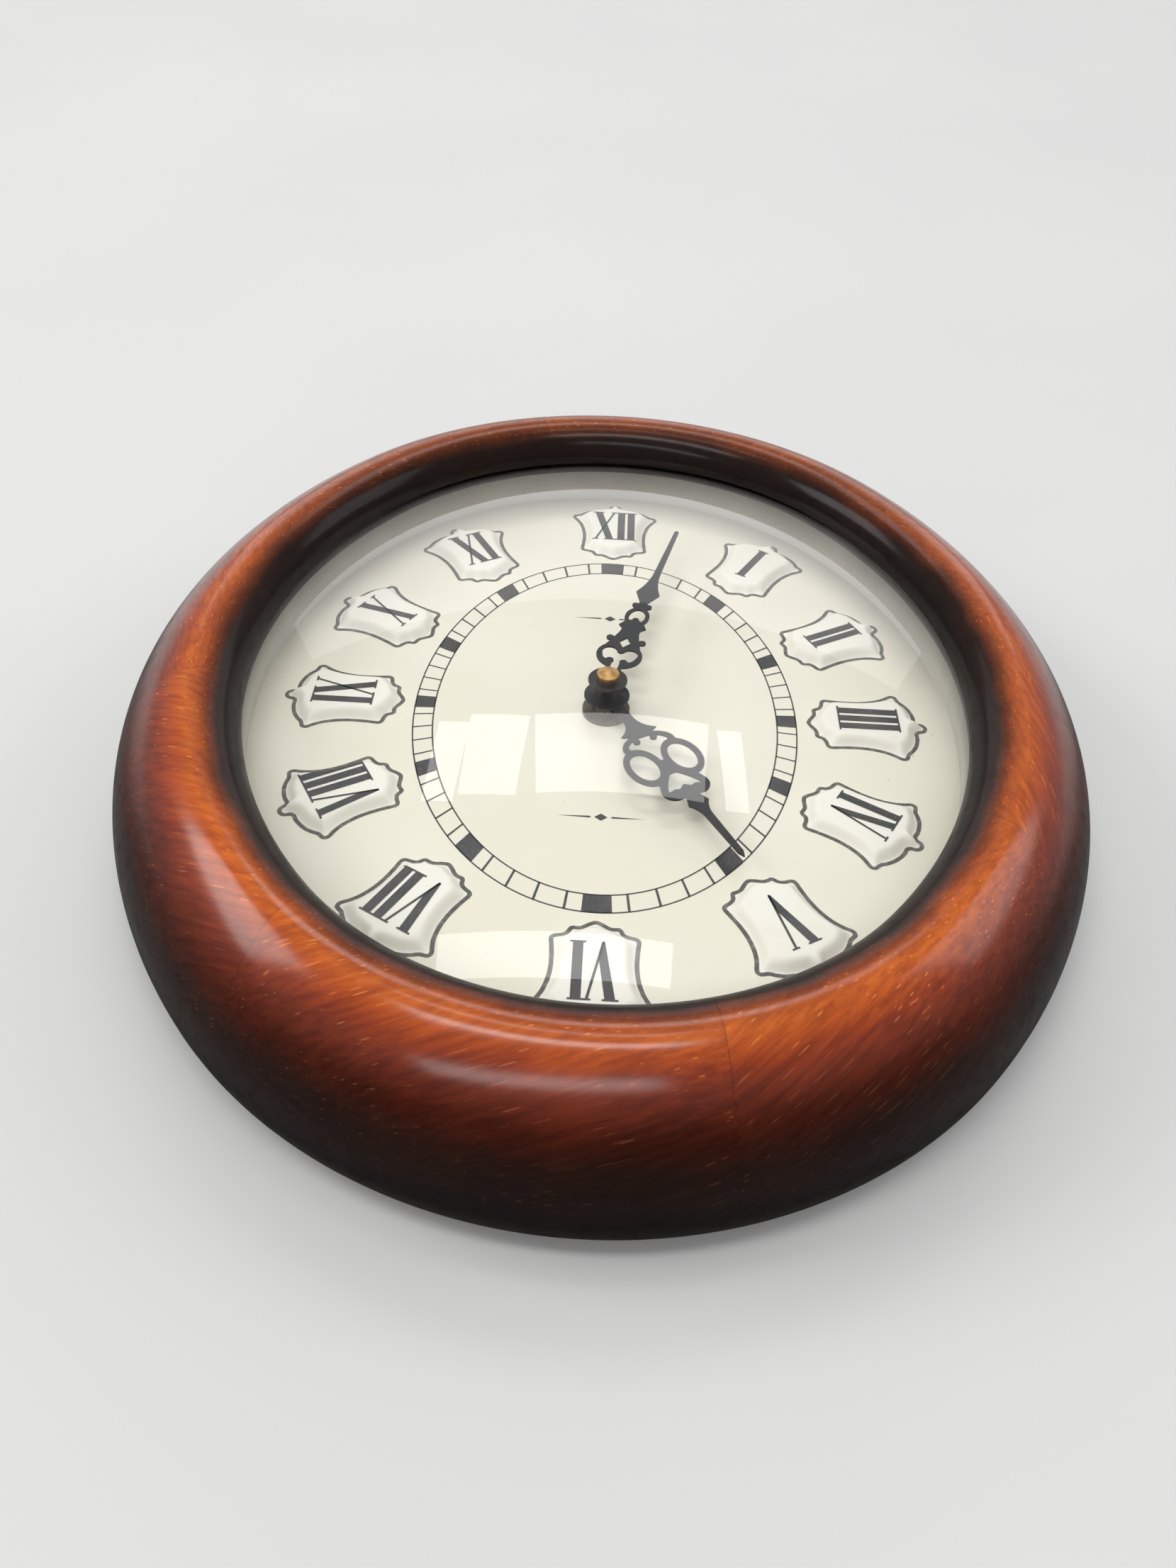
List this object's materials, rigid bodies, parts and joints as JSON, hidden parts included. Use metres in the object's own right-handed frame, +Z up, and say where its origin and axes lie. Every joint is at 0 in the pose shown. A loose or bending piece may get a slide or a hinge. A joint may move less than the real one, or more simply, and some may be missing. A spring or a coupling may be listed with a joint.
{
  "type": "wall clock",
  "caption": "Oval wooden wall clock with a domed glass, embossed dial with raised numeral shields, pierced hands and a battery quartz movement hung on a keyhole plate",
  "frame": {"origin": "on the wall plane, behind the axis of the hands", "axes": "+X to 3 o'clock, +Z up to 12 o'clock, +Y into the wall, so the dial faces -Y"},
  "size_m": [0.259, 0.05, 0.297],
  "materials": {
    "lacquered_wood": "sunburst stain under gloss lacquer",
    "clear_glass": "clear polished glass",
    "dark_band": "matt dark grey",
    "cream_dial": "satin cream print",
    "zinc_steel": "zinc plated",
    "screw_steel": "yellow zinc",
    "case_plastic": "fine moulded grain",
    "black_rubber": "matt",
    "smoke_plastic": "smoky translucent plastic",
    "battery_jacket": "plain printed jacket",
    "contact_strip": "nickel plated",
    "board_laminate": "plain laminate",
    "chip_resin": "resin drop",
    "crystal_can": "tinned",
    "motor_steel": "bare soft steel",
    "white_plastic": "moulded",
    "copper_wire": "enamelled copper",
    "magnet_grey": "bonded magnet",
    "wheel_plastic": "moulded",
    "knob_plastic": "moulded",
    "black_hand": "satin black",
    "cap_brass": "turned brass"
  },
  "bodies": {
    "frame": {"wood_ring": "lacquered_wood", "glass_dome": "clear_glass", "spacer_ring": "dark_band", "dial_plate": "cream_dial", "dial_clips": "zinc_steel", "clip_screws": "screw_steel", "hanger_plate": "zinc_steel", "hanger_screws": "screw_steel", "movement_case": "case_plastic", "movement_cover": "case_plastic", "rubber_washer": "black_rubber", "fixing_nut": "smoke_plastic", "positive_contact": "contact_strip", "negative_contact": "contact_strip", "circuit_board": "board_laminate", "timing_chip": "chip_resin", "quartz_crystal": "crystal_can", "stator_plate": "motor_steel", "coil_core": "motor_steel", "coil_bobbin": "white_plastic", "coil_winding": "copper_wire", "stator_screws": "screw_steel", "train_plate": "white_plastic"},
    "minute_group": {"minute_arbor": "cap_brass", "minute_hand": "black_hand", "minute_hand_hub": "black_hand", "cap_nut": "cap_brass", "clutch_spring": "contact_strip"},
    "hour_group": {"hour_wheel": "wheel_plastic", "hour_hand": "black_hand", "hour_hand_hub": "black_hand"},
    "minute_wheel": {"minute_wheel": "wheel_plastic"},
    "setting_knob": {"setting_knob": "knob_plastic"},
    "centre_wheel": {"centre_wheel": "wheel_plastic"},
    "third_wheel": {"third_wheel": "wheel_plastic"},
    "fourth_wheel": {"fourth_wheel": "wheel_plastic"},
    "fifth_wheel": {"fifth_wheel": "wheel_plastic"},
    "rotor": {"rotor_magnet": "magnet_grey", "rotor_pinion": "wheel_plastic"},
    "battery": {"battery": "battery_jacket"}
  },
  "joints": [
    {"name": "minute_hand_turn", "type": "hinge", "parent": "frame", "child": "minute_group", "pos_m": [0, -0.02, 0], "axis": [0, 1, 0], "continuous": true},
    {"name": "hour_hand_turn", "type": "hinge", "parent": "frame", "child": "hour_group", "pos_m": [0, -0.02, 0], "axis": [0, 1, 0], "continuous": true},
    {"name": "minute_wheel_turn", "type": "hinge", "parent": "frame", "child": "minute_wheel", "pos_m": [-0.00886, -0.016, 0.00156], "axis": [0, 1, 0], "continuous": true},
    {"name": "setting_knob_turn", "type": "hinge", "parent": "frame", "child": "setting_knob", "pos_m": [-0.01695, -0.01, 0.00551], "axis": [0, 1, 0], "continuous": true},
    {"name": "fourth_wheel_turn", "type": "hinge", "parent": "frame", "child": "fourth_wheel", "pos_m": [0, -0.01, 0], "axis": [0, 1, 0], "continuous": true},
    {"name": "third_wheel_turn", "type": "hinge", "parent": "frame", "child": "third_wheel", "pos_m": [0.01038, -0.012, 0.00298], "axis": [0, 1, 0], "continuous": true},
    {"name": "centre_wheel_turn", "type": "hinge", "parent": "frame", "child": "centre_wheel", "pos_m": [0, -0.014, 0], "axis": [0, 1, 0], "continuous": true},
    {"name": "fifth_wheel_turn", "type": "hinge", "parent": "frame", "child": "fifth_wheel", "pos_m": [-0.00246, -0.01, 0.00677], "axis": [0, 1, 0], "continuous": true},
    {"name": "rotor_turn", "type": "hinge", "parent": "frame", "child": "rotor", "pos_m": [-0.00137, -0.01, 0.01297], "axis": [0, 1, 0], "continuous": true},
    {"name": "battery_out", "type": "slide", "parent": "frame", "child": "battery", "axis": [0, 1, 0], "range_m": [0, 0.02]}
  ],
  "couplings": [
    {"joint": "hour_hand_turn", "follows": "minute_hand_turn", "ratio": 0.083333},
    {"joint": "minute_wheel_turn", "follows": "minute_hand_turn", "ratio": -0.33333},
    {"joint": "setting_knob_turn", "follows": "minute_hand_turn", "ratio": 1},
    {"joint": "third_wheel_turn", "follows": "fourth_wheel_turn", "ratio": -0.13333},
    {"joint": "centre_wheel_turn", "follows": "fourth_wheel_turn", "ratio": 0.016667},
    {"joint": "fifth_wheel_turn", "follows": "fourth_wheel_turn", "ratio": -5},
    {"joint": "rotor_turn", "follows": "fourth_wheel_turn", "ratio": 30}
  ]
}
